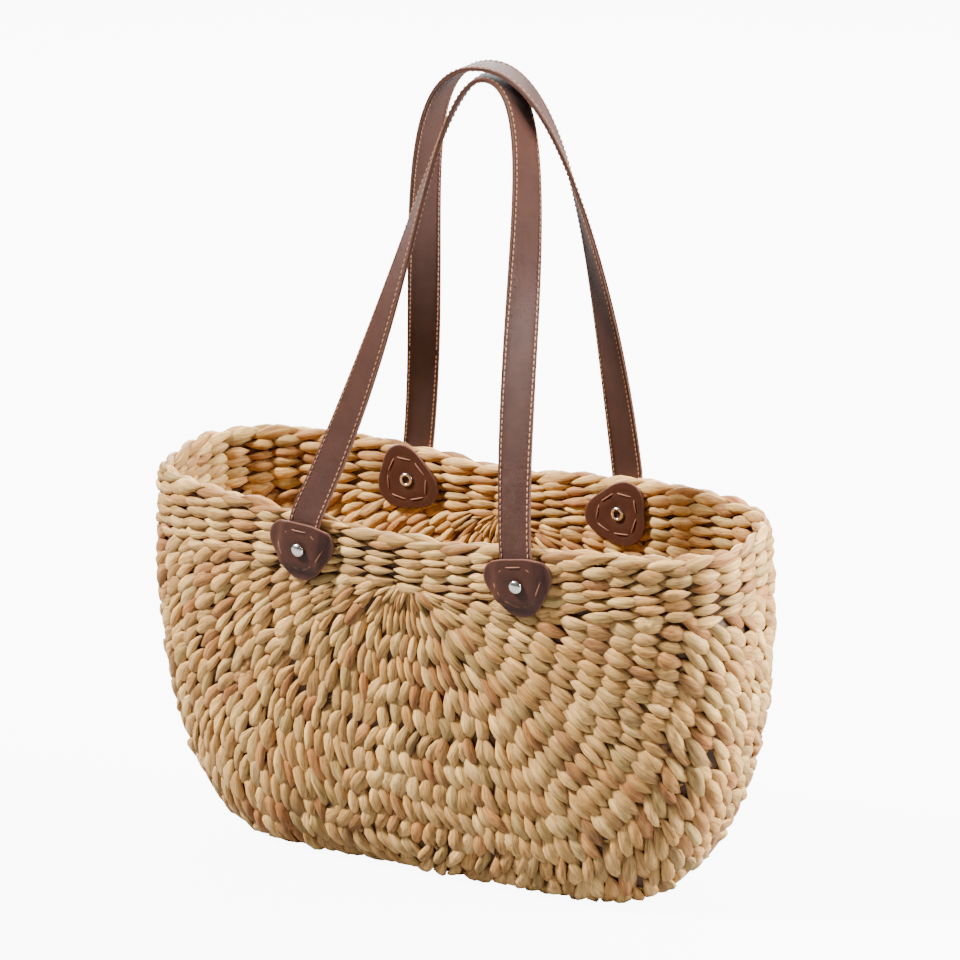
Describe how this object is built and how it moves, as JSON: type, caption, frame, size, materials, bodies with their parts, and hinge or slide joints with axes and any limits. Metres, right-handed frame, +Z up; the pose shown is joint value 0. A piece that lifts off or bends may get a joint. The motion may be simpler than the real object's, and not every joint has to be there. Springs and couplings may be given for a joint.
{
  "type": "beach bag",
  "caption": "Oval woven fibre tote with fan-patterned walls, a braided mouth and a pair of riveted leather shoulder straps.",
  "frame": {"origin": "on the ground under the middle of the bag", "axes": "+X to the bag's right end, +Y from the front wall to the back wall, +Z up"},
  "size_m": [0.47, 0.1887, 0.5963],
  "materials": {
    "woven_fibre": "matt twisted plant fibre",
    "braided_fibre": "matt braided plant fibre",
    "strap_leather": "pebbled, semi-matt",
    "strap_lining": "smooth, matt",
    "patch_leather": "smooth, semi-matt",
    "thread": "waxed thread",
    "nickel": "polished"
  },
  "bodies": {
    "basket": {"front_panel": "woven_fibre", "back_panel": "woven_fibre", "gusset": "woven_fibre", "rim_band": "woven_fibre", "rim_braid": "braided_fibre", "front_left_strap_end_face": "strap_leather", "front_left_strap_end_lining": "strap_lining", "front_left_outer_patch": "patch_leather", "front_left_inner_patch": "patch_leather", "front_left_outer_thread": "thread", "front_left_inner_thread": "thread", "front_left_rivet": "nickel", "front_left_washer": "nickel", "front_right_strap_end_face": "strap_leather", "front_right_strap_end_lining": "strap_lining", "front_right_outer_patch": "patch_leather", "front_right_inner_patch": "patch_leather", "front_right_outer_thread": "thread", "front_right_inner_thread": "thread", "front_right_rivet": "nickel", "front_right_washer": "nickel", "back_left_strap_end_face": "strap_leather", "back_left_strap_end_lining": "strap_lining", "back_left_outer_patch": "patch_leather", "back_left_inner_patch": "patch_leather", "back_left_outer_thread": "thread", "back_left_inner_thread": "thread", "back_left_rivet": "nickel", "back_left_washer": "nickel", "back_right_strap_end_face": "strap_leather", "back_right_strap_end_lining": "strap_lining", "back_right_outer_patch": "patch_leather", "back_right_inner_patch": "patch_leather", "back_right_outer_thread": "thread", "back_right_inner_thread": "thread", "back_right_rivet": "nickel", "back_right_washer": "nickel"},
    "front_handle_lower": {"front_left_leg_face": "strap_leather", "front_left_leg_lining": "strap_lining", "front_right_leg_face": "strap_leather", "front_right_leg_lining": "strap_lining"},
    "front_handle_upper": {"front_arch_face": "strap_leather", "front_arch_lining": "strap_lining"},
    "back_handle_lower": {"back_left_leg_face": "strap_leather", "back_left_leg_lining": "strap_lining", "back_right_leg_face": "strap_leather", "back_right_leg_lining": "strap_lining"},
    "back_handle_upper": {"back_arch_face": "strap_leather", "back_arch_lining": "strap_lining"}
  },
  "joints": [
    {"name": "front_handle_swing", "type": "hinge", "parent": "basket", "child": "front_handle_lower", "pos_m": [0, -0.08836, 0.27692], "axis": [1, 0, 0], "range_deg": [0, 130]},
    {"name": "front_handle_fold", "type": "hinge", "parent": "front_handle_lower", "child": "front_handle_upper", "pos_m": [0, -0.05963, 0.37791], "axis": [1, 0, 0], "range_deg": [0, 60]},
    {"name": "back_handle_swing", "type": "hinge", "parent": "basket", "child": "back_handle_lower", "pos_m": [0, 0.08832, 0.27692], "axis": [1, 0, 0], "range_deg": [-130, 0]},
    {"name": "back_handle_fold", "type": "hinge", "parent": "back_handle_lower", "child": "back_handle_upper", "pos_m": [0, 0.06023, 0.37809], "axis": [1, 0, 0], "range_deg": [-60, 0]}
  ]
}
